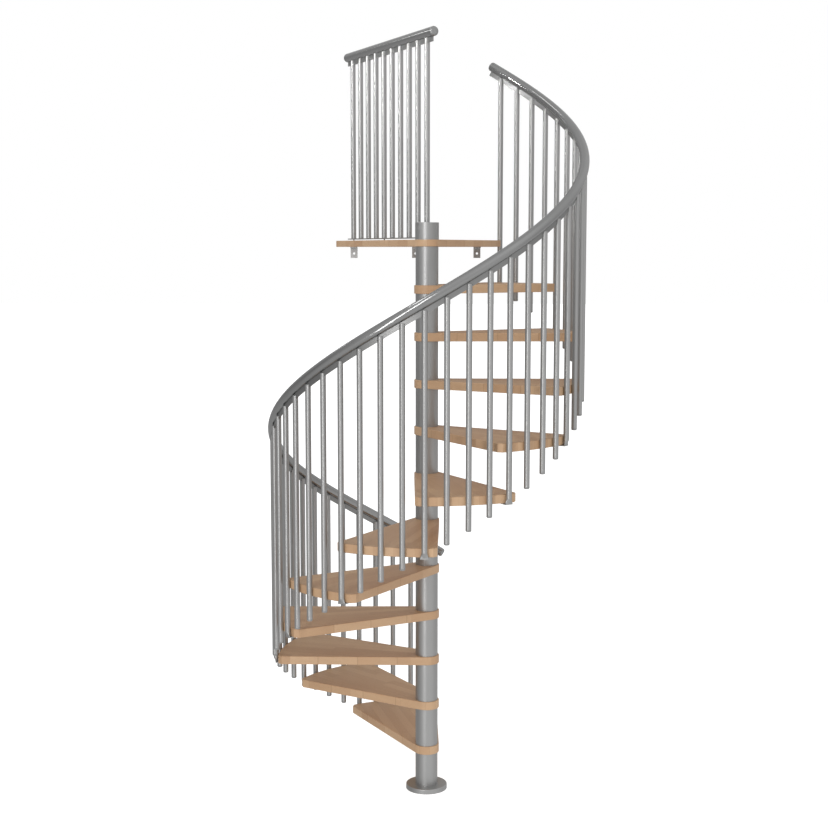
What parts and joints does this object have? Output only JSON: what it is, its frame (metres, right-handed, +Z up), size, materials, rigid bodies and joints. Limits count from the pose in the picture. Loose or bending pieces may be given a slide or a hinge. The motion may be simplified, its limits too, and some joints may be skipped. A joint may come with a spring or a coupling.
{
  "type": "spiral staircase",
  "caption": "Spiral staircase of wedge-shaped wooden treads stacked on a steel column, with a helical balustrade, a tubular handrail and a landing platform with its own railing.",
  "frame": {"origin": "middle of the base plate's underside, on the column's axis", "axes": "+Z up the column, +Y from the column towards the landing and square to the platform's back edge, +X to the right when facing the landing"},
  "size_m": [1.3998, 1.5354, 3.377],
  "materials": {
    "beech": "satin lacquered beech",
    "powder_coated_steel": "grey powder coat, semi gloss",
    "handrail": "grey satin plastic"
  },
  "bodies": {
    "root": {"base_plate": "powder_coated_steel", "centre_pole": "powder_coated_steel", "spacer_tubes": "powder_coated_steel", "column_cap": "powder_coated_steel", "tread_01": "beech", "tread_02": "beech", "tread_03": "beech", "tread_04": "beech", "tread_05": "beech", "tread_06": "beech", "tread_07": "beech", "tread_08": "beech", "tread_09": "beech", "tread_10": "beech", "tread_11": "beech", "platform": "beech", "balusters_01": "powder_coated_steel", "balusters_02": "powder_coated_steel", "balusters_03": "powder_coated_steel", "balusters_04": "powder_coated_steel", "balusters_05": "powder_coated_steel", "balusters_06": "powder_coated_steel", "balusters_07": "powder_coated_steel", "balusters_08": "powder_coated_steel", "balusters_09": "powder_coated_steel", "balusters_10": "powder_coated_steel", "balusters_11": "powder_coated_steel", "start_baluster": "powder_coated_steel", "handrail": "handrail", "handrail_bar": "powder_coated_steel", "handrail_caps": "handrail", "platform_base_strip": "powder_coated_steel", "platform_balusters": "powder_coated_steel", "platform_rail": "handrail", "platform_rail_bar": "powder_coated_steel", "platform_rail_caps": "handrail", "platform_brackets": "powder_coated_steel"}
  },
  "joints": []
}
